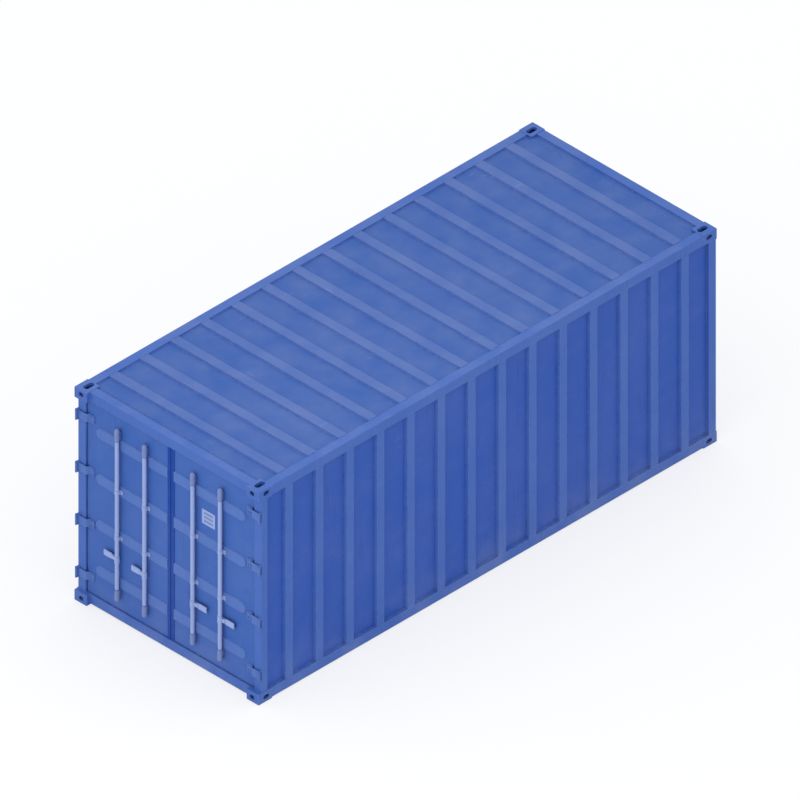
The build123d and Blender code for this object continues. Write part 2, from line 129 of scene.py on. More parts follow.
def connect(tree, value, socket):
    """Puts a number, a colour or the output of another node into a socket."""
    if isinstance(value, bpy.types.NodeSocket):
        tree.links.new(value, socket)
    else:
        socket.default_value = value


def add_node(tree, kind, inputs=None, **settings):
    """A new shader node with its settings and inputs."""
    made = tree.nodes.new("ShaderNode" + kind)
    for name, value in settings.items():
        setattr(made, name, value)
    for name, value in (inputs or {}).items():
        connect(tree, value, made.inputs[name])
    return made


def calculate(tree, operation, first, second=0.0):
    """One step of arithmetic."""
    made = add_node(tree, "Math", {0: first, 1: second}, operation=operation)
    return made.outputs[0]


def rise(tree, value, start, end, low=0.0, high=1.0):
    """Goes smoothly from low to high while the value goes from start to end."""
    inputs = {"Value": value, "From Min": start, "From Max": end, "To Min": low, "To Max": high}
    return add_node(tree, "MapRange", inputs, interpolation_type="SMOOTHSTEP").outputs[0]


def mix(tree, factor, first, second):
    """Two colours mixed by a factor. The Mix node keeps its colours in the sockets 6 and 7."""
    return add_node(tree, "Mix", {0: factor, 6: first, 7: second}, data_type="RGBA").outputs[2]


def speckle(tree, size, stretch=(1, 1, 1), detail=4.0, turn=(0, 0, 0), warp=0.0):
    """Noise from 0 to 1 fixed to the surface. Size is that of one blotch, in metres."""
    place = add_node(tree, "TexCoord").outputs["Object"]
    scale = [1 / (size * amount) for amount in stretch]
    mapped = add_node(tree, "Mapping", {"Vector": place, "Rotation": turn, "Scale": scale})
    inputs = {"Vector": mapped.outputs[0], "Scale": 1.0, "Detail": detail, "Distortion": warp}
    return add_node(tree, "TexNoise", inputs).outputs[0]


def blotches(tree, size, start, end, **noise):
    """A mask that goes from 0 to 1 where the noise goes from start to end."""
    return rise(tree, speckle(tree, size, **noise), start, end)


def new_group(name, inputs, outputs):
    """An empty group. Inputs are (name, kind, value), and outputs are (name, kind)."""
    group = bpy.data.node_groups.new(name, "ShaderNodeTree")
    sockets = group.interface
    for socket, kind, value in inputs:
        made = sockets.new_socket(name=socket, in_out="INPUT", socket_type="NodeSocket" + kind)
        made.default_value = value
    for socket, kind in outputs:
        sockets.new_socket(name=socket, in_out="OUTPUT", socket_type="NodeSocket" + kind)
    entry = group.nodes.new("NodeGroupInput")
    leave = group.nodes.new("NodeGroupOutput")
    return group, entry.outputs, leave.inputs


def use_group(tree, group, inputs=None):
    """Places a group in a tree and hands back its outputs."""
    made = tree.nodes.new("ShaderNodeGroup")
    made.node_tree = group
    for name, value in (inputs or {}).items():
        connect(tree, value, made.inputs[name])
    return made.outputs


def tell(group):
    """Prints what a finished group is made of."""
    print(group.name, "group:", len(group.nodes), "nodes")


# %% [markdown]
# ## Raised tone
#
# The raised ribs, like the frame, are painted a lighter blue than the flats between them: a
# painted highlight of the raised parts. Both belong to one pressed sheet, so they can't be two
# objects. A mask tells them apart by place: how far a point stands out along one axis. It
# needs no painting by hand and stays exact at the bends.

# %% Raised tone group
raised_tone, entry, leave = new_group(
    "raised_tone",
    [("Axis", "Vector", (0, 0, 1)), ("Low", "Float", 0.0), ("High", "Float", 1.0)],
    [("Mask", "Float")],
)
place = add_node(raised_tone, "TexCoord").outputs["Object"]
reach = add_node(raised_tone, "VectorMath", {0: place, 1: entry["Axis"]}, operation="DOT_PRODUCT")
distance = calculate(raised_tone, "ABSOLUTE", reach.outputs["Value"])
connect(raised_tone, rise(raised_tone, distance, entry["Low"], entry["High"]), leave["Mask"])
tell(raised_tone)

# %% [markdown]
# ## Sun fade
#
# Sun bleaches paint in broad patches, more where the coat is thin. Two noises do it: one as
# wide as a panel and one as wide as a hand. The group hands out a colour, so that a material
# can put it straight into the next step, and the mask that made it.

# %% Sun fade group
PANEL_PATCH = 1.1
PANEL_SHARE = 0.6
HAND_PATCH = 0.16
HAND_SHARE = 0.4

sun_fade, entry, leave = new_group(
    "sun_fade",
    [
        ("Paint", "Color", (0.1, 0.2, 0.5, 1)),
        ("Faded", "Color", (0.2, 0.3, 0.6, 1)),
        ("Amount", "Float", 0.3),
    ],
    [("Color", "Color"), ("Mask", "Float")],
)
broad = blotches(sun_fade, PANEL_PATCH, start=0.35, end=0.7)
small = blotches(sun_fade, HAND_PATCH, start=0.4, end=0.75, detail=6)
broad_part = calculate(sun_fade, "MULTIPLY", broad, PANEL_SHARE)
small_part = calculate(sun_fade, "MULTIPLY", small, HAND_SHARE)
patches = calculate(sun_fade, "ADD", broad_part, small_part)
fade_mask = calculate(sun_fade, "MULTIPLY", patches, entry["Amount"])
connect(sun_fade, mix(sun_fade, fade_mask, entry["Paint"], entry["Faded"]), leave["Color"])
connect(sun_fade, fade_mask, leave["Mask"])
tell(sun_fade)

# %% [markdown]
# ## Rain streaks
#
# Rain carries dirt down a wall in thin, broken lines. Noise that is squeezed sideways and
# stretched upright looks just like that. A second noise rubs out most of them.

# %% Rain streak group
STREAK_WIDTH = 0.022
STREAK_STRETCH = (1, 1, 26)
RAINY_PATCH = 0.5
RAINY_STRETCH = (1, 1, 1.6)

rain_streaks, entry, leave = new_group(
    "rain_streaks", [("Amount", "Float", 0.3)], [("Mask", "Float")]
)
lines = blotches(
    rain_streaks, STREAK_WIDTH, start=0.54, end=0.72, stretch=STREAK_STRETCH, detail=3
)
rubbed = blotches(rain_streaks, RAINY_PATCH, start=0.42, end=0.68, stretch=RAINY_STRETCH)
streak_mask = calculate(rain_streaks, "MULTIPLY", lines, rubbed)
streak_mask = calculate(rain_streaks, "MULTIPLY", streak_mask, entry["Amount"])
connect(rain_streaks, streak_mask, leave["Mask"])
tell(rain_streaks)

# %% [markdown]
# ## Worn edges
#
# Paint is thin on an edge, and slings, forks and other containers rub it first. The Bevel
# node gives the normal that a rounded edge would have. Where it differs from the true normal
# there is an edge, and noise breaks the line up so that it doesn't look drawn.

# %% Worn edge group
STILL_FLAT = 0.995
FULLY_BENT = 0.92

worn_edges, entry, leave = new_group(
    "worn_edges",
    [("Radius", "Float", 0.006), ("Amount", "Float", 0.5), ("Blotch", "Float", 22.0)],
    [("Mask", "Float")],
)
rounded = add_node(worn_edges, "Bevel", {"Radius": entry["Radius"]}, samples=4)
flat_normal = add_node(worn_edges, "NewGeometry").outputs["Normal"]
normals = {0: rounded.outputs[0], 1: flat_normal}
same = add_node(worn_edges, "VectorMath", normals, operation="DOT_PRODUCT")
edge = rise(worn_edges, same.outputs["Value"], STILL_FLAT, FULLY_BENT)
place = add_node(worn_edges, "TexCoord").outputs["Object"]
noise_inputs = {"Vector": place, "Scale": entry["Blotch"], "Detail": 8.0, "Roughness": 0.7}
noise = add_node(worn_edges, "TexNoise", noise_inputs).outputs[0]
broken = rise(worn_edges, noise, start=0.42, end=0.62)
edge_mask = calculate(worn_edges, "MULTIPLY", edge, broken)
edge_mask = calculate(worn_edges, "MULTIPLY", edge_mask, entry["Amount"])
connect(worn_edges, edge_mask, leave["Mask"])
tell(worn_edges)

# %% [markdown]
# ## Dust and grime
#
# Dust lies on what faces up and splashes on what is near the ground; on upward faces it also
# stands for a painted sheen. Where two faces meet, painted shade darkens the paint, broken up
# like grime. The first needs only the normal and the height. The second comes from the
# Ambient Occlusion node, which asks how much of the sky a point sees.

# %% Dust and sheen group
SPLASH_HEIGHT = 0.55
STEEP = 0.5
NEARLY_LEVEL = 0.95
LYING_SHARE = 0.6
DUST_CLOUD = 0.35

dust_and_top_sheen, entry, leave = new_group(
    "dust_and_top_sheen", [("Amount", "Float", 0.4)], [("Mask", "Float")]
)
facing_way = add_node(dust_and_top_sheen, "NewGeometry").outputs["Normal"]
place = add_node(dust_and_top_sheen, "TexCoord").outputs["Object"]
upward = add_node(dust_and_top_sheen, "SeparateXYZ", {0: facing_way}).outputs["Z"]
height = add_node(dust_and_top_sheen, "SeparateXYZ", {0: place}).outputs["Z"]
# Upward faces take dust and a painted sheen, and low parts take splashed dust.
lying_dust_and_sheen = rise(dust_and_top_sheen, upward, STEEP, NEARLY_LEVEL)
splashed = rise(dust_and_top_sheen, height, SPLASH_HEIGHT, 0.0)
lying_dust_and_sheen = calculate(dust_and_top_sheen, "MULTIPLY", lying_dust_and_sheen, LYING_SHARE)
where = calculate(dust_and_top_sheen, "MAXIMUM", lying_dust_and_sheen, splashed)
cloudy = blotches(dust_and_top_sheen, DUST_CLOUD, start=0.3, end=0.75, detail=7)
dust_and_sheen_mask = calculate(dust_and_top_sheen, "MULTIPLY", where, cloudy)
dust_and_sheen_mask = calculate(dust_and_top_sheen, "MULTIPLY", dust_and_sheen_mask, entry["Amount"])
connect(dust_and_top_sheen, dust_and_sheen_mask, leave["Mask"])
tell(dust_and_top_sheen)

# %% Painted shade and grime group
OPEN_SKY = 0.85
LITTLE_SKY = 0.35
GRIME_PATCH = 0.07
GRIME_STRETCH = (1, 1, 3)

corner_shade_and_grime, entry, leave = new_group(
    "corner_shade_and_grime", [("Reach", "Float", 0.05), ("Amount", "Float", 0.5)], [("Mask", "Float")]
)
open_sky = add_node(corner_shade_and_grime, "AmbientOcclusion", {"Distance": entry["Reach"]}, samples=4)
# Painted shade: the less sky a point sees, the darker it is painted.
closed = rise(corner_shade_and_grime, open_sky.outputs["AO"], OPEN_SKY, LITTLE_SKY)
dirty = blotches(
    corner_shade_and_grime, GRIME_PATCH, start=0.25, end=0.7, stretch=GRIME_STRETCH, detail=6
)
shade_and_grime_mask = calculate(corner_shade_and_grime, "MULTIPLY", closed, dirty)
shade_and_grime_mask = calculate(corner_shade_and_grime, "MULTIPLY", shade_and_grime_mask, entry["Amount"])
connect(corner_shade_and_grime, shade_and_grime_mask, leave["Mask"])
tell(corner_shade_and_grime)

# %% [markdown]
# ## Scuffs
#
# Long thin scratches run where cargo, forks or lashings have brushed past. The same trick as
# for rain works, with finer noise that is turned to lie at a slant. Two such layers cross,
# and a third noise leaves them only here and there.

# %% Scuff group
SCRATCH_WIDTH = 0.012
SCRATCH_STRETCHES = ((3, 27, 1), (24, 3, 1))
SCRATCH_TURNS = ((0.3, 0.2, 0.5), (0.6, 0.1, 0.25))
SCUFFED_PATCH = 0.6

scuffs, entry, leave = new_group("scuffs", [("Amount", "Float", 0.3)], [("Mask", "Float")])
layers = [
    blotches(scuffs, SCRATCH_WIDTH, start=0.68, end=0.74, stretch=stretch, detail=2, turn=turn)
    for stretch, turn in zip(SCRATCH_STRETCHES, SCRATCH_TURNS)
]
crossed = calculate(scuffs, "MAXIMUM", *layers)
sparse = blotches(scuffs, SCUFFED_PATCH, start=0.5, end=0.66)
scuff_mask = calculate(scuffs, "MULTIPLY", crossed, sparse)
scuff_mask = calculate(scuffs, "MULTIPLY", scuff_mask, entry["Amount"])
connect(scuffs, scuff_mask, leave["Mask"])
tell(scuffs)

# %% [markdown]
# ## The skin of sprayed paint
#
# Sprayed paint dries with a fine orange-peel texture, and thin sheet is never quite flat
# between its bends. Both are heights, so one group adds them up in metres, and each material
# feeds them to a Bump node with a distance of one.

# %% Paint skin group
PEEL_SIZE = 0.0045
DENT_SIZE = 0.42

paint_skin, entry, leave = new_group(
    "paint_skin", [("Peel", "Float", 0.00005), ("Dents", "Float", 0.0008)], [("Height", "Float")]
)
peel = calculate(paint_skin, "MULTIPLY", speckle(paint_skin, PEEL_SIZE, detail=1), entry["Peel"])
dents = calculate(paint_skin, "MULTIPLY", speckle(paint_skin, DENT_SIZE, detail=2), entry["Dents"])
connect(paint_skin, calculate(paint_skin, "ADD", peel, dents), leave["Height"])
tell(paint_skin)

# %% [markdown]
# ## Painted steel
#
# One function makes every painted material. The coat goes on in this order: paint, with a
# painted highlight on raised parts; fading, rain and rubbing; painted shade in the corners,
# broken up like grime; and dust, with a painted sheen on upward faces. Each step mixes a new
# colour over the last by the mask of its group. The shader itself stays in the material,
# outside the groups.

# %% Painted steel
WHITE = (1, 1, 1, 1)
# Pale dust, also the colour of the painted sheen on upward faces.
DUST_AND_SHEEN_COLOUR = linear(168, 176, 196)
# Dark grime for the rain streaks, and the colour of the painted shade in corners.
GRIME_AND_SHADE_COLOUR = linear(34, 48, 92)
PRIMER = linear(126, 146, 198)
FADE_TO_WHITE = 0.07
DUST_DULLS = 0.5
FADE_DULLS = 0.25
PAINT_SPECULAR = 0.2


def new_material(name):
    """A material with only a Principled shader, and its node tree."""
    material = bpy.data.materials.new(name)
    material.use_nodes = True
    tree = material.node_tree
    shader = next(n for n in tree.nodes if n.type == "BSDF_PRINCIPLED")
    return material, tree, shader


def give_bump(tree, shader, height):
    """Feeds a height in metres to the shader's normal."""
    bump = add_node(tree, "Bump", {"Height": height, "Distance": 1.0})
    connect(tree, bump.outputs["Normal"], shader.inputs["Normal"])


def painted_steel(name, paint, raised=None, fade=0.35, streaks=0.22, wear=0.75, dust_and_sheen_amount=0.16,
                  shade_and_grime=0.45, scuffed=0.3, roughness=0.5, peel=0.00005, dents=0.0):
    """Sprayed steel. Raised is (lighter paint, axis, low, high): a painted highlight on ribs."""
    material, tree, shader = new_material(name)
    colour = paint
    if raised:
        lighter, axis, low, high = raised
        # On ribs and beads the raised part takes the lighter paint as a painted highlight.
        ribs = use_group(tree, raised_tone, {"Axis": axis, "Low": low, "High": high})["Mask"]
        colour = mix(tree, ribs, paint, lighter)
    bleached = mix(tree, FADE_TO_WHITE, colour, WHITE)
    faded = use_group(tree, sun_fade, {"Paint": colour, "Faded": bleached, "Amount": fade})
    rain = use_group(tree, rain_streaks, {"Amount": streaks})["Mask"]
    rubbed = use_group(tree, scuffs, {"Amount": scuffed})["Mask"]
    edges = use_group(tree, worn_edges, {"Amount": wear})["Mask"]
    corners = use_group(tree, corner_shade_and_grime, {"Amount": shade_and_grime})["Mask"]
    dust_and_sheen = use_group(tree, dust_and_top_sheen, {"Amount": dust_and_sheen_amount})["Mask"]
    colour = mix(tree, rain, faded["Color"], GRIME_AND_SHADE_COLOUR)
    colour = mix(tree, calculate(tree, "MAXIMUM", edges, rubbed), colour, PRIMER)
    # Painted shade in the corners, broken up like grime.
    colour = mix(tree, corners, colour, GRIME_AND_SHADE_COLOUR)
    # Dust, and on upward faces a painted sheen, lightens the colour.
    connect(tree, mix(tree, dust_and_sheen, colour, DUST_AND_SHEEN_COLOUR), shader.inputs["Base Color"])
    from_dust = calculate(tree, "MULTIPLY", dust_and_sheen, DUST_DULLS)
    from_fade = calculate(tree, "MULTIPLY", faded["Mask"], FADE_DULLS)
    dulled = calculate(tree, "ADD", from_dust, from_fade)
    connect(tree, calculate(tree, "ADD", dulled, roughness), shader.inputs["Roughness"])
    give_bump(tree, shader, use_group(tree, paint_skin, {"Peel": peel, "Dents": dents})["Height"])
    shader.inputs["Specular IOR Level"].default_value = PAINT_SPECULAR
    return material


def dress(material, *names):
    """Gives CAD nodes a material."""
    for name in names:
        slots = nodes[name].data.materials
        slots.clear()
        slots.append(material)


# %% [markdown]
# ## Two blues
#
# The frame and the crests of the ribs are the lighter blue, a painted highlight, and the panels
# the darker one. In the drawing each tone also changes with the face: the roof is palest, then
# the door end, then the long side. That is light. The lamps give part of it, and the rest is
# painted light: the doors and the roof each get their own pair of paints, a little greyer and
# paler than the side's.

# %% Colours of the coat
SIDE_PANEL = linear(45, 86, 176)
# The lighter blue of the frame and the rib crests is a painted highlight.
SIDE_HIGHLIGHT = linear(66, 103, 182)
# The door and roof paints are lighter copies of the side's: painted light for faces that catch
# more of it.
DOOR_LIT_PANEL = linear(56, 97, 176)
DOOR_LIT_HIGHLIGHT = linear(79, 113, 185)
ROOF_LIT_PANEL = linear(51, 92, 170)
ROOF_LIT_HIGHLIGHT = linear(74, 105, 176)
print("side panel in linear light:", [round(value, 3) for value in SIDE_PANEL])

# %% [markdown]
# ## Frame, walls and roof
#
# Posts and rails are one heavy coat over thick steel, without dents. The corner castings have
# a coarser skin, from their sand mould, and take most of the knocks. The walls are thin sheet:
# their mask starts a little above the flats, so that the slopes of a rib take the painted
# highlight of its crest.

# %% Frame and sheets
RIB_DEPTH = 0.030
ROOF_RIB_DEPTH = 0.020
BEAD_RELIEF = 0.012
MASK_START = 0.10
MASK_END = 0.22
SHEET_DENTS = 0.0012
LONG = (1, 0, 0)
ACROSS = (0, 1, 0)
UP = (0, 0, 1)


def ribs_of(lighter, axis, crest, depth):
    """Where the painted highlight starts and is full, for ribs whose crests stand at a distance.
    """
    foot = crest - depth
    return (lighter, axis, foot + depth * MASK_START, foot + depth * MASK_END)


SIDES = ("left", "right")
# The frame's lighter blue is a painted highlight of the raised parts.
frame_paint = painted_steel("frame_paint", SIDE_HIGHLIGHT, wear=0.8)
casting_paint = painted_steel("casting_paint", SIDE_HIGHLIGHT, wear=1.0, scuffed=0.6, peel=0.00012)
side_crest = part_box("left_side_wall")[1].y
end_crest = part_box("closed_end_wall")[1].x
roof_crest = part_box("roof")[1].z
side_ribs = ribs_of(SIDE_HIGHLIGHT, ACROSS, side_crest, RIB_DEPTH)
end_ribs = ribs_of(SIDE_HIGHLIGHT, LONG, end_crest, RIB_DEPTH)
roof_ribs = ribs_of(ROOF_LIT_HIGHLIGHT, UP, roof_crest, ROOF_RIB_DEPTH)
side_paint = painted_steel("side_wall_paint", SIDE_PANEL, side_ribs, dents=SHEET_DENTS)
end_paint = painted_steel("closed_end_paint", SIDE_PANEL, end_ribs, dents=SHEET_DENTS)
roof_paint = painted_steel("roof_paint", ROOF_LIT_PANEL, roof_ribs, streaks=0.0, dents=SHEET_DENTS)
dress(casting_paint, *(name for name in nodes if name.startswith("casting_")))
dress(frame_paint, *(name for name in nodes if name.endswith(("_post", "_rail"))))
dress(frame_paint, "door_header", "door_sill")
dress(side_paint, *(side + "_side_wall" for side in SIDES))
dress(end_paint, "closed_end_wall")
dress(roof_paint, "roof", "roof_end_plates")
print("walls, roof and frame painted")

# %% [markdown]
# ## Doors and their gear
#
# A door is a sheet with four pressed beads, which take the lighter tone as a painted highlight,
# like the ribs. Its locking bars, handles and plate are a pale blue. The bearings that close
# round the ends of the bars are greyer. The seal is blue rubber: darker than the doors' paint,
# and quite dull.

# %% Door materials
BAR_BLUE = linear(152, 170, 219)
BEARING_BLUE = linear(118, 137, 188)
PLATE_LINE = linear(112, 132, 186)
SEAL_BLUE = linear(29, 75, 166)
DOOR_DENTS = 0.0006
PLATE_TONE_STEP = 0.0004

door_low, door_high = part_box("left_door_panel")
door_beads = ribs_of(DOOR_LIT_HIGHLIGHT, LONG, -door_low.x, BEAD_RELIEF)
door_paint = painted_steel("door_paint", DOOR_LIT_PANEL, door_beads, dents=DOOR_DENTS)
door_frame_paint = painted_steel("door_frame_paint", DOOR_LIT_HIGHLIGHT)
bar_paint = painted_steel("bar_paint", BAR_BLUE, streaks=0.15, wear=0.35, dust_and_sheen_amount=0.1, peel=0.00003)
bearing_paint = painted_steel("bearing_paint", BEARING_BLUE, streaks=0.15, wear=0.4, dust_and_sheen_amount=0.1)
plate_front = -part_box("safety_plate")[0].x
tone_full = plate_front - PLATE_TONE_STEP
tone_start = plate_front - 2 * PLATE_TONE_STEP
plate_paint = painted_steel(
    "plate_paint", PLATE_LINE, (BAR_BLUE, LONG, tone_start, tone_full),
    streaks=0.1, wear=0.2, dust_and_sheen_amount=0.1, shade_and_grime=0.2, peel=0.00002,
)
print("door paints made")

# %% Rubber
CHALKY = 0.06
RUBBED_PALE = 0.12
RUBBER_ROUGHNESS = 0.7
RUBBER_SPECULAR = 0.15


def paler(colour, amount):
    """A colour moved towards white."""
    return (*(channel + (1 - channel) * amount for channel in colour[:3]), 1.0)


def rubber(name, colour):
    """Moulded rubber: matt, with a fine grain, and chalky where it is pressed."""
    material, tree, shader = new_material(name)
    fade = {"Paint": colour, "Faded": paler(colour, CHALKY), "Amount": 0.5}
    chalk = use_group(tree, sun_fade, fade)["Color"]
    edges = use_group(tree, worn_edges, {"Radius": 0.002, "Amount": 0.3})["Mask"]
    rubbed = mix(tree, edges, chalk, paler(colour, RUBBED_PALE))
    connect(tree, rubbed, shader.inputs["Base Color"])
    shader.inputs["Roughness"].default_value = RUBBER_ROUGHNESS
    shader.inputs["Specular IOR Level"].default_value = RUBBER_SPECULAR
    skin = use_group(tree, paint_skin, {"Peel": 0.00006, "Dents": 0.0004})
    give_bump(tree, shader, skin["Height"])
    return material


seal_rubber = rubber("seal_rubber", SEAL_BLUE)
print("rubber made")

# %% Dress the doors
for side in SIDES:
    dress(door_paint, side + "_door_panel", side + "_handle_rests")
    dress(door_frame_paint, side + "_door_frame", side + "_hinge_blades")
    dress(seal_rubber, side + "_door_seal")
    dress(bearing_paint, side + "_bar_end_bearings")
    dress(bar_paint, side + "_bar_guides")
    for place in ("outer", "inner"):
        dress(bar_paint, f"{side}_{place}_locking_bar", f"{side}_{place}_bar_handle")
dress(plate_paint, "safety_plate")
print("doors painted")

# %% [markdown]
# ## The floor
#
# Container floors are thick plywood, oiled dark and marked by fork trucks. The top ply shows
# a long grain: noise stretched along the board and bent a little, which mixes two browns. A
# coarser figure and tyre marks darken it. Its screws are zinc plated: a metal whose grey and
# roughness vary in fine spots.

# %% Plywood
LIGHT_PLY = linear(150, 112, 74)
DARK_PLY = linear(92, 62, 38)
TYRE_MARK = linear(48, 40, 34)
GRAIN_WIDTH = 0.006
GRAIN_STRETCH = (60, 1, 4)
GRAIN_RISE = 0.0003
FIGURE_WIDTH = 0.05
FIGURE_STRETCH = (14, 1, 2)
FIGURE_STRENGTH = 0.45
MARK_WIDTH = 0.16
MARK_STRETCH = (9, 1, 1)
MARK_STRENGTH = 0.55
DARK_PLY_ROUGHNESS = 0.62
LIGHT_PLY_ROUGHNESS = 0.5


def plywood(name):
    """Oiled plywood with its grain along the container."""
    material, tree, shader = new_material(name)
    grain = blotches(
        tree, GRAIN_WIDTH, start=0.3, end=0.72, stretch=GRAIN_STRETCH, detail=5, warp=0.6
    )
    figure = blotches(
        tree, FIGURE_WIDTH, start=0.3, end=0.7, stretch=FIGURE_STRETCH, detail=3, warp=1.2
    )
    wood = mix(tree, grain, DARK_PLY, LIGHT_PLY)
    wood = mix(tree, calculate(tree, "MULTIPLY", figure, FIGURE_STRENGTH), wood, DARK_PLY)
    marks = blotches(tree, MARK_WIDTH, start=0.55, end=0.8, stretch=MARK_STRETCH, detail=5)
    wood = mix(tree, calculate(tree, "MULTIPLY", marks, MARK_STRENGTH), wood, TYRE_MARK)
    # Dust, and on the upward face a painted sheen.
    dust_and_sheen = use_group(tree, dust_and_top_sheen, {"Amount": 0.25})["Mask"]
    connect(tree, mix(tree, dust_and_sheen, wood, DUST_AND_SHEEN_COLOUR), shader.inputs["Base Color"])
    roughness = rise(tree, grain, 0, 1, DARK_PLY_ROUGHNESS, LIGHT_PLY_ROUGHNESS)
    connect(tree, roughness, shader.inputs["Roughness"])
    give_bump(tree, shader, calculate(tree, "MULTIPLY", grain, GRAIN_RISE))
    return material


# %% Zinc
BRIGHT_ZINC = linear(176, 178, 182)
DULL_ZINC = linear(128, 130, 136)
ZINC_SPOT = 0.004
BRIGHT_ZINC_ROUGHNESS = 0.35
DULL_ZINC_ROUGHNESS = 0.6
ZINC_METALLIC = 0.9


def zinc_plate(name):
    """Zinc-plated steel, dulled in spots."""
    material, tree, shader = new_material(name)
    spots = blotches(tree, ZINC_SPOT, start=0.35, end=0.7, detail=3)
    connect(tree, mix(tree, spots, BRIGHT_ZINC, DULL_ZINC), shader.inputs["Base Color"])
    roughness = rise(tree, spots, 0, 1, BRIGHT_ZINC_ROUGHNESS, DULL_ZINC_ROUGHNESS)
    connect(tree, roughness, shader.inputs["Roughness"])
    shader.inputs["Metallic"].default_value = ZINC_METALLIC
    return material


# %% Floor and underframe
UNDERCOAT = linear(44, 70, 132)

floor_wood = plywood("floor_plywood")
screw_zinc = zinc_plate("screw_zinc")
under_paint = painted_steel("underframe_paint", UNDERCOAT, dust_and_sheen_amount=0.6, roughness=0.6, streaks=0.0)
dress(floor_wood, "floor_boards")
dress(under_paint, "floor_cross_members")
print("floor and underframe finished")

# %% [markdown]
# ## Small shapes
#
# A weld bead is a rope of metal along a line. A bolt, a rivet or a bushing is a profile spun
# about an axis. Both are lists of points and faces, which is the plainest way to make a mesh.
# Many copies go into one object, because hundreds of separate objects slow a scene down.

# %% Shape helpers
SHARP_ANGLE = math.radians(40)


def rings_to_faces(count, segments, closed=False):
    """Faces between rings of points, with a cap at each end or joined end to start."""
    faces = []
    for ring in range(count if closed else count - 1):
        low = ring * segments
        high = (ring + 1) % count * segments
        for step in range(segments):
            following = (step + 1) % segments
            faces.append((low + step, low + following, high + following, high + step))
    if not closed:
        faces.append(tuple(reversed(range(segments))))
        faces.append(tuple(range((count - 1) * segments, count * segments)))
    return faces


def spun(profile, segments=20, closed=False):
    """A profile of (radius, height) pairs turned about Z, as points and faces."""
    points = []
    for radius, height in profile:
        for step in range(segments):
            angle = 2 * math.pi * step / segments
            points.append(Vector((radius * math.cos(angle), radius * math.sin(angle), height)))
    return points, rings_to_faces(len(profile), segments, closed)


def joined(*shapes):
    """Several shapes as one list of points and one of faces."""
    points = []
    faces = []
    for some_points, some_faces in shapes:
        start = len(points)
        points += some_points
        faces += [tuple(start + index for index in face) for face in some_faces]
    return points, faces


def copies(shape, places):
    """One copy of a shape for each place, which is a matrix."""
    return joined(*(([place @ point for point in shape[0]], shape[1]) for place in places))


def facing(position, direction, turn=0.0):
    """A place for a small shape: its Z axis points in a direction."""
    aim = Vector(direction).to_track_quat("Z", "Y").to_matrix().to_4x4()
    return Matrix.Translation(position) @ aim @ Matrix.Rotation(turn, 4, "Z")


def make_piece(name, shape, material, body):
    """A smooth-shaded mesh object that rides on a body."""
    mesh = bpy.data.meshes.new(name)
    mesh.from_pydata(shape[0], [], shape[1])
    mesh.validate()
    mesh.materials.append(material)
    piece = bpy.data.objects.new(name, mesh)
    bpy.context.scene.collection.objects.link(piece)
    mesh.shade_smooth()
    mesh.set_sharp_from_angle(angle=SHARP_ANGLE)
    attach(piece, body)
    return piece


# %% [markdown]
# ## Weld beads
#
# Every sheet, rail and casting is joined by a fillet weld, and its lumpy line along the
# corner is part of how a container looks close up. A path of corners is cut into short
# lengths, and the radius of each ring varies a little, as a hand-laid bead does.

# %% Bead helper
BEAD_RADIUS = 0.0038
BEAD_STEP = 0.022
BEAD_SIDES = 7
BEAD_UNEVEN = 0.22
DICE_SEED = 20

dice = random.Random(DICE_SEED)


def weld_bead(corners):
    """A lumpy tube along a line of corners, as points and faces."""
    path = [Vector(corners[0])]
    for start, end in zip(corners, corners[1:]):
        start = Vector(start)
        end = Vector(end)
        steps = max(1, round((end - start).length / BEAD_STEP))
        path += [start.lerp(end, number / steps) for number in range(1, steps + 1)]
    points = []
    for number, centre in enumerate(path):
        before = path[max(number - 1, 0)]
        after = path[min(number + 1, len(path) - 1)]
        aim = (after - before).to_track_quat("Z", "Y")
        radius = BEAD_RADIUS * (1 + BEAD_UNEVEN * (dice.random() - 0.5) * 2)
        for side in range(BEAD_SIDES):
            angle = 2 * math.pi * side / BEAD_SIDES
            spoke = Vector((radius * math.cos(angle), radius * math.sin(angle), 0))
            points.append(centre + aim @ spoke)
    return points, rings_to_faces(len(path), BEAD_SIDES)


# %% [markdown]
# The beads along a pressed sheet follow its ribs. Their line is worked out from the same
# pitch, widths and depth as the pressing. Its ends and the crests come from the loaded solids.

# %% Lines along the sheets
RIB_PITCH = 0.4025
RIB_FACE = 0.095
RIB_SLOPE = 0.011
ROOF_RIB_FACE = 0.102
ROOF_RIB_SLOPE = 0.010
RIB_END_MARGIN = 0.150


def pressed_line(low, high, face, slope, depth):
    """Corners of a ribbed sheet from end to end, as (place along, depth behind the crests)."""
    base = face + 2 * slope
    count = int((2 * min(-low, high) - base - 2 * RIB_END_MARGIN) // RIB_PITCH) + 1
    line = [(low, depth)]
    for number in range(count):
        centre = (number - (count - 1) / 2) * RIB_PITCH
        line += [(centre - base / 2, depth), (centre - face / 2, 0.0)]
        line += [(centre + face / 2, 0.0), (centre + base / 2, depth)]
    return line + [(high, depth)]


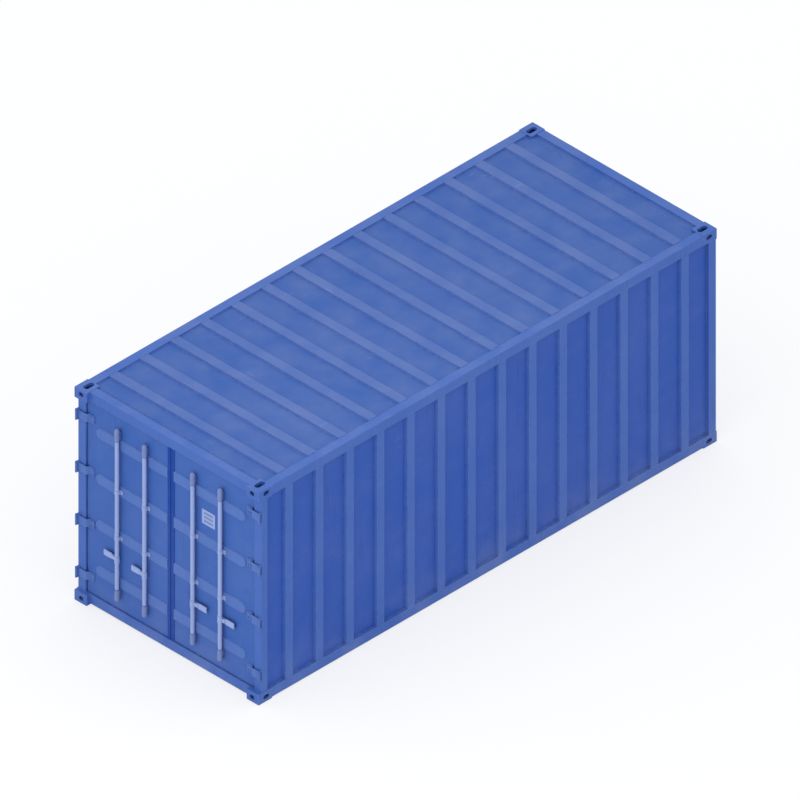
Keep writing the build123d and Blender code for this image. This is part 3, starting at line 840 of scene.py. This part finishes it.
def sheet_beads():
    """Beads round the side walls, the closed end and the roof."""
    beads = []
    low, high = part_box("left_side_wall")
    line = pressed_line(low.x, high.x, RIB_FACE, RIB_SLOPE, RIB_DEPTH)
    for sign in (1, -1):
        for level in (low.z, high.z):
            path = [(along, sign * (high.y - depth), level) for along, depth in line]
            beads.append(weld_bead(path))
        for along in (low.x, high.x):
            valley = sign * (high.y - RIB_DEPTH)
            beads.append(weld_bead([(along, valley, low.z), (along, valley, high.z)]))
    low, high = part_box("closed_end_wall")
    line = pressed_line(low.y, high.y, RIB_FACE, RIB_SLOPE, RIB_DEPTH)
    for level in (low.z, high.z):
        beads.append(weld_bead([(high.x - depth, along, level) for along, depth in line]))
    for along in (low.y, high.y):
        valley = high.x - RIB_DEPTH
        beads.append(weld_bead([(valley, along, low.z), (valley, along, high.z)]))
    low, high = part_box("roof")
    line = pressed_line(low.x, high.x, ROOF_RIB_FACE, ROOF_RIB_SLOPE, ROOF_RIB_DEPTH)
    for across in (low.y, high.y):
        beads.append(weld_bead([(along, across, high.z - depth) for along, depth in line]))
    plate_low, plate_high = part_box("roof_end_plates")
    level = plate_high.z
    for along in (plate_low.x, plate_high.x, low.x, high.x):
        beads.append(weld_bead([(along, plate_low.y, level), (along, plate_high.y, level)]))
    return beads


def frame_beads():
    """Beads where posts and rails stand against the castings."""
    beads = []
    for name in nodes:
        if not name.endswith(("_post", "_rail")) and name not in ("door_header", "door_sill"):
            continue
        low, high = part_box(name)
        if name.endswith("door_end_post"):
            # The hinge lugs belong to this post and reach past its face.
            low.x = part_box("door_header")[0].x
        if name.endswith("_post"):
            foot = [(low.x, low.y), (high.x, low.y), (high.x, high.y), (low.x, high.y)]
            for level in (low.z, high.z):
                beads.append(weld_bead([(x, y, level) for x, y in foot + foot[:1]]))
        elif name.endswith("side_rail"):
            outer = high.y if high.y > 0 else low.y
            for along in (low.x, high.x):
                beads.append(weld_bead([(along, outer, low.z), (along, outer, high.z)]))
        else:
            outer = high.x if high.x > 0 else low.x
            for across in (low.y, high.y):
                beads.append(weld_bead([(outer, across, low.z), (outer, across, high.z)]))
    return beads


bead_shapes = joined(*sheet_beads(), *frame_beads())
welds = make_piece("weld_beads", bead_shapes, frame_paint, "box")
print("weld beads:", len(welds.data.polygons), "faces")

# %% [markdown]
# ## Bolts, rivets and bushings
#
# Hexagon bolts hold the guides and the hinge tabs, domed rivets hold the plate, and a thin
# bushing lines the mouth of each bearing. A hexagon head is a spun profile too: one with six
# segments. Their places come from the same values as the pressings that carry them.

# %% Places on the doors
BAR_DEPTH = 0.027
BAR_OFFSETS = (0.318, 0.681)
BEAD_INSET = 0.306
BEAD_COUNT = 4
MOUTH_FROM_BEAD = 0.0645
HINGE_INSET = 0.190
HINGE_COUNT = 4
OUT_OF_DOOR = (-1, 0, 0)
BODY_SIDES = (("left", 1), ("right", -1))


def spread(low, high, count):
    """Evenly spread places from low to high."""
    return [low + (high - low) * number / (count - 1) for number in range(count)]


bead_levels = spread(door_low.z + BEAD_INSET, door_high.z - BEAD_INSET, BEAD_COUNT)
hinge_levels = spread(door_low.z + HINGE_INSET, door_high.z - HINGE_INSET, HINGE_COUNT)
bearing_mouths = (bead_levels[0] - MOUTH_FROM_BEAD, bead_levels[-1] + MOUTH_FROM_BEAD)
print("beads at", [round(level, 3) for level in bead_levels])

# %% Hexagon bolts
GUIDE_BOLT = 0.013
GUIDE_BOLT_REACH = 0.040
GUIDE_FOOT = 0.006
TAB_BOLT = 0.015
TAB_BOLTS_Y = (1.026, 1.056)
TAB_BOLTS_Z = (-0.027, 0.027)
BLADE_THICKNESS = 0.008
# Shares of the bolt's width across flats.
WASHER_RADIUS = 0.68
WASHER_TOP = 0.12
HEAD_TOP = 0.62
# Where a bevel starts, as a share of the height, and ends, as a share of the radius.
WASHER_BEVEL_START = 0.7
WASHER_BEVEL_END = 0.93
HEAD_BEVEL_START = 0.9
HEAD_BEVEL_END = 0.84


def hexagon_bolt(width):
    """A bolt head on its washer, from its width across flats."""
    corner = width / math.sqrt(3)
    washer = WASHER_RADIUS * width
    washer_top = WASHER_TOP * width
    top = HEAD_TOP * width
    disc = spun([
        (washer, 0),
        (washer, WASHER_BEVEL_START * washer_top),
        (WASHER_BEVEL_END * washer, washer_top),
    ])
    head = spun([
        (corner, washer_top),
        (corner, HEAD_BEVEL_START * top),
        (HEAD_BEVEL_END * corner, top),
    ], segments=6)
    return joined(disc, head)


def turned_at(x, y, z):
    """A place on the doors' outside, turned by chance as a tightened bolt is."""
    return facing((x, y, z), OUT_OF_DOOR, dice.random() * math.pi)


guide_face = door_low.x - GUIDE_FOOT
tab_face = door_low.x + BEAD_RELIEF - BLADE_THICKNESS
for side, sign in BODY_SIDES:
    guide_places = [
        turned_at(guide_face, sign * (bar + reach), level)
        for bar in BAR_OFFSETS
        for reach in (-GUIDE_BOLT_REACH, GUIDE_BOLT_REACH)
        for level in bead_levels[1:-1]
    ]
    tab_places = [
        turned_at(tab_face, sign * across, level + up)
        for across in TAB_BOLTS_Y
        for up in TAB_BOLTS_Z
        for level in hinge_levels
    ]
    guide_bolts = copies(hexagon_bolt(GUIDE_BOLT), guide_places)
    tab_bolts = copies(hexagon_bolt(TAB_BOLT), tab_places)
    make_piece(side + "_guide_bolts", guide_bolts, bar_paint, side + "_door")
    make_piece(side + "_hinge_bolts", tab_bolts, door_frame_paint, side + "_door")
    print(side, "door:", len(guide_places) + len(tab_places), "bolts")

# %% Bushings
BUSHING_BORE = 0.0221
BUSHING_RIM = 0.0008
BUSHING_LENGTH = 0.003
BUSHING_SEGMENTS = 32

bar_line = cad_low.x + BAR_DEPTH
bearing_radius = bar_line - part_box("left_bar_end_bearings")[0].x
bushing_outside = bearing_radius + BUSHING_RIM
bushing_corners = [
    (BUSHING_BORE, 0),
    (bushing_outside, 0),
    (bushing_outside, BUSHING_LENGTH),
    (BUSHING_BORE, BUSHING_LENGTH),
]
bushing = spun(bushing_corners, BUSHING_SEGMENTS, closed=True)
for side, sign in BODY_SIDES:
    bushing_places = [
        facing((bar_line, sign * bar, mouth), (0, 0, way))
        for bar in BAR_OFFSETS
        for mouth, way in zip(bearing_mouths, (1, -1))
    ]
    bushings = copies(bushing, bushing_places)
    make_piece(side + "_bearing_bushings", bushings, seal_rubber, side + "_door")
    print(side, "door:", len(bushing_places), "bushings")

# %% Rivets of the plate
RIVET_RADIUS = 0.0045
RIVET_RISE = 0.0025
RIVET_STEPS = 6
RIVET_SEGMENTS = 16
RIVET_INSET = 0.013
DOME_ANGLE = math.radians(80)

dome_angles = [DOME_ANGLE * step / RIVET_STEPS for step in range(RIVET_STEPS + 1)]
dome = [(RIVET_RADIUS * math.cos(a), RIVET_RISE * math.sin(a)) for a in dome_angles]
plate_low, plate_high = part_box("safety_plate")
rivet_places = [
    facing((plate_low.x, across, level), OUT_OF_DOOR)
    for across in (plate_low.y + RIVET_INSET, plate_high.y - RIVET_INSET)
    for level in (plate_low.z + RIVET_INSET, plate_high.z - RIVET_INSET)
]
rivets = copies(spun(dome, RIVET_SEGMENTS), rivet_places)
make_piece("plate_rivets", rivets, bearing_paint, "right_door")
print("rivets:", len(rivet_places))

# %% [markdown]
# ## Seal ribs
#
# A door seal is moulded with upright ribs that squash against the other door. Each rib is a
# long, half-sunk rod, and a rod needs only a few sides at this size.

# %% Seal ribs
SEAL_RIBS = 3
SEAL_RIB_RADIUS = 0.003
SEAL_RIB_TIP = SEAL_RIB_RADIUS / 3
SEAL_RIB_TAPER = 0.002
SEAL_RIB_SEGMENTS = 12
STRIP_WIDTH = 0.037

seal_low, seal_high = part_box("left_door_seal")
seal_length = seal_high.z - seal_low.z
rod_profile = [
    (SEAL_RIB_TIP, 0),
    (SEAL_RIB_RADIUS, SEAL_RIB_TAPER),
    (SEAL_RIB_RADIUS, seal_length - SEAL_RIB_TAPER),
    (SEAL_RIB_TIP, seal_length),
]
rod = spun(rod_profile, SEAL_RIB_SEGMENTS)
rib_lines = [seal_low.y + STRIP_WIDTH * (number + 0.5) / SEAL_RIBS for number in range(SEAL_RIBS)]
for side, sign in BODY_SIDES:
    rods = copies(rod, [
        Matrix.Translation((seal_low.x, sign * across, seal_low.z)) for across in rib_lines
    ])
    make_piece(side + "_seal_ribs", rods, seal_rubber, side + "_door")
print("seal ribs:", SEAL_RIBS, "a door")

# %% [markdown]
# ## Floor screws
#
# Each board is screwed down to every cross member, in rows from side to side. A screw head
# is a flat disc with a bevelled rim, just proud of the wood, and a sunk drive.

# %% Floor screws
MEMBER_COUNT = 18
MEMBER_FLANGE = 0.045
SCREWS_ACROSS = 9
SCREW_EDGE = 0.9
SCREW_RADIUS = 0.006
SCREW_RISE = 0.0008
SCREW_FLAT = 0.85
DRIVE_MOUTH = 0.35
DRIVE_FLOOR = 0.30
DRIVE_FLOOR_LEVEL = 0.2
SCREW_SEGMENTS = 12

board_low, board_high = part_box("floor_boards")
member_low, member_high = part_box("floor_cross_members")
first_row = member_low.x + MEMBER_FLANGE / 2
last_row = member_high.x - MEMBER_FLANGE / 2
screw_places = [
    facing((along, across, board_high.z), UP)
    for along in spread(first_row, last_row, MEMBER_COUNT)
    for across in spread(board_low.y * SCREW_EDGE, board_high.y * SCREW_EDGE, SCREWS_ACROSS)
]
screw_head = spun([
    (SCREW_RADIUS, 0),
    (SCREW_FLAT * SCREW_RADIUS, SCREW_RISE),
    (DRIVE_MOUTH * SCREW_RADIUS, SCREW_RISE),
    (DRIVE_FLOOR * SCREW_RADIUS, DRIVE_FLOOR_LEVEL * SCREW_RISE),
], SCREW_SEGMENTS)
make_piece("floor_screws", copies(screw_head, screw_places), screw_zinc, "box")
print("floor screws:", len(screw_places))

# %% [markdown]
# ## Lashing rings
#
# Cargo is tied to rings along the foot and the head of each wall. A ring is a spun circle, a
# torus, and a short sleeve holds it to the rail. They lie flat against the sheet, between two
# ribs and within the width of the rails, so that they take no room from the cargo.

# %% Lashing rings
RING_RADIUS = 0.026
ROD_RADIUS = 0.005
ROD_SIDES = 10
RING_SEGMENTS = 32
SLEEVE_RADIUS = 0.0065
SLEEVE_HALF = 0.020
SLEEVE_TAPER = 0.002
SLEEVE_SEGMENTS = 16
RING_ACROSS = 1.1715
RING_STEPS = (-6, -3, 0, 3, 6)

rod_angles = [2 * math.pi * step / ROD_SIDES for step in range(ROD_SIDES)]
rod_circle = [
    (RING_RADIUS + ROD_RADIUS * math.cos(a), ROD_RADIUS * math.sin(a)) for a in rod_angles
]
ring = spun(rod_circle, RING_SEGMENTS, closed=True)
sleeve = spun([
    (SLEEVE_RADIUS - SLEEVE_TAPER, -SLEEVE_HALF),
    (SLEEVE_RADIUS, SLEEVE_TAPER - SLEEVE_HALF),
    (SLEEVE_RADIUS, SLEEVE_HALF - SLEEVE_TAPER),
    (SLEEVE_RADIUS - SLEEVE_TAPER, SLEEVE_HALF),
], SLEEVE_SEGMENTS)
wall_low, wall_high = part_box("left_side_wall")
lashings = []
for sign in (1, -1):
    for level, inward in ((wall_low.z, 1), (wall_high.z, -1)):
        sleeve_level = level + inward * SLEEVE_RADIUS
        for step in RING_STEPS:
            along = step * RIB_PITCH
            across = sign * RING_ACROSS
            ring_centre = (along, across, sleeve_level + inward * RING_RADIUS)
            lashings.append(copies(ring, [facing(ring_centre, ACROSS)]))
            lashings.append(copies(sleeve, [facing((along, across, sleeve_level), LONG)]))
make_piece("lashing_rings", joined(*lashings), frame_paint, "box")
print("lashing rings:", len(lashings) // 2)

# %% [markdown]
# ## Floor and light
#
# The picture is plain: a pale ground, a white background and soft light. The ground is a
# large plane. Seen by the camera or in a reflection it shows mostly its own white, which
# comes from a Light Path switch in its material, and the rest of it takes light and shadow
# like any surface. Its back is clear, so that a camera below it sees the underframe.

# %% Ground
GROUND_SIZE = 400.0
GROUND_LEVEL = -0.0005
GROUND_COLOUR = (0.82, 0.82, 0.83, 1)
GROUND_GLOW = 0.6
GROUND_GLOW_STRENGTH = 1.13


def seen_or_reflected(tree, path):
    """1 where the camera looks, straight or by a mirror or glass, and 0 for all other light."""
    seen = calculate(tree, "MAXIMUM", path["Is Camera Ray"], path["Is Glossy Ray"])
    return calculate(tree, "MAXIMUM", seen, path["Is Transmission Ray"])


def ground_material():
    """Pale ground that looks nearly white, keeps a soft shadow and is clear from below."""
    material, tree, shader = new_material("ground")
    tree.nodes.remove(shader)
    path = add_node(tree, "LightPath").outputs
    share = calculate(tree, "MULTIPLY", seen_or_reflected(tree, path), GROUND_GLOW)
    matt = add_node(tree, "BsdfDiffuse", {"Color": GROUND_COLOUR}).outputs[0]
    glow_inputs = {"Color": WHITE, "Strength": GROUND_GLOW_STRENGTH}
    glow = add_node(tree, "Emission", glow_inputs).outputs[0]
    mixed = add_node(tree, "MixShader", {0: share, 1: matt, 2: glow}).outputs[0]
    below = add_node(tree, "NewGeometry").outputs["Backfacing"]
    from_below = calculate(tree, "MULTIPLY", below, path["Is Camera Ray"])
    clear = add_node(tree, "BsdfTransparent").outputs[0]
    shown = add_node(tree, "MixShader", {0: from_below, 1: mixed, 2: clear}).outputs[0]
    output = next(n for n in tree.nodes if n.type == "OUTPUT_MATERIAL")
    connect(tree, shown, output.inputs["Surface"])
    return material


half = GROUND_SIZE / 2
square = ((-half, -half), (half, -half), (half, half), (-half, half))
corners = [(x, y, GROUND_LEVEL) for x, y in square]
ground_mesh = bpy.data.meshes.new("ground")
ground_mesh.from_pydata(corners, [], [(0, 1, 2, 3)])
ground_mesh.materials.append(ground_material())
ground = bpy.data.objects.new("ground", ground_mesh)
bpy.context.scene.collection.objects.link(ground)
print("ground:", GROUND_SIZE, "m wide")

# %% [markdown]
# The light is a pale sky all round, which fills every side, and two large soft lamps. One
# hangs over the roof and one stands off the door end, so the three faces differ as they do
# in the drawing. Strengths stay low enough that a colour renders about as it is written.

# %% Sky and lamps
SKY_STRENGTH = 0.97
SKY_COLOUR = (0.97, 0.985, 1.0, 1)


def soft_lamp(name, location, target, width, power):
    """A square lamp that points at a target."""
    data = bpy.data.lights.new(name, "AREA")
    data.shape = "SQUARE"
    data.size = width
    data.energy = power
    lamp = bpy.data.objects.new(name, data)
    lamp.location = location
    aim = Vector(location) - Vector(target)
    lamp.rotation_euler = aim.to_track_quat("Z", "Y").to_euler()
    bpy.context.scene.collection.objects.link(lamp)
    print(name, "at", tuple(location))


world = bpy.data.worlds.new("studio")
bpy.context.scene.world = world
world.use_nodes = True
sky_tree = world.node_tree
sky_tree.nodes.clear()
seen = seen_or_reflected(sky_tree, add_node(sky_tree, "LightPath").outputs)
sky = add_node(sky_tree, "Background", {"Color": SKY_COLOUR, "Strength": SKY_STRENGTH}).outputs[0]
backdrop = add_node(sky_tree, "Background", {"Color": WHITE, "Strength": 1.0}).outputs[0]
shown = add_node(sky_tree, "MixShader", {0: seen, 1: sky, 2: backdrop}).outputs[0]
add_node(sky_tree, "OutputWorld", {"Surface": shown})

soft_lamp("roof_lamp", location=(-1.5, -1.0, 7.5), target=(0, 0, 2.4), width=7.0, power=60)
soft_lamp("door_lamp", location=(-9.0, -2.5, 3.6), target=(-3.0, 0, 1.3), width=4.0, power=70)

bpy.context.scene.view_settings.view_transform = "Standard"
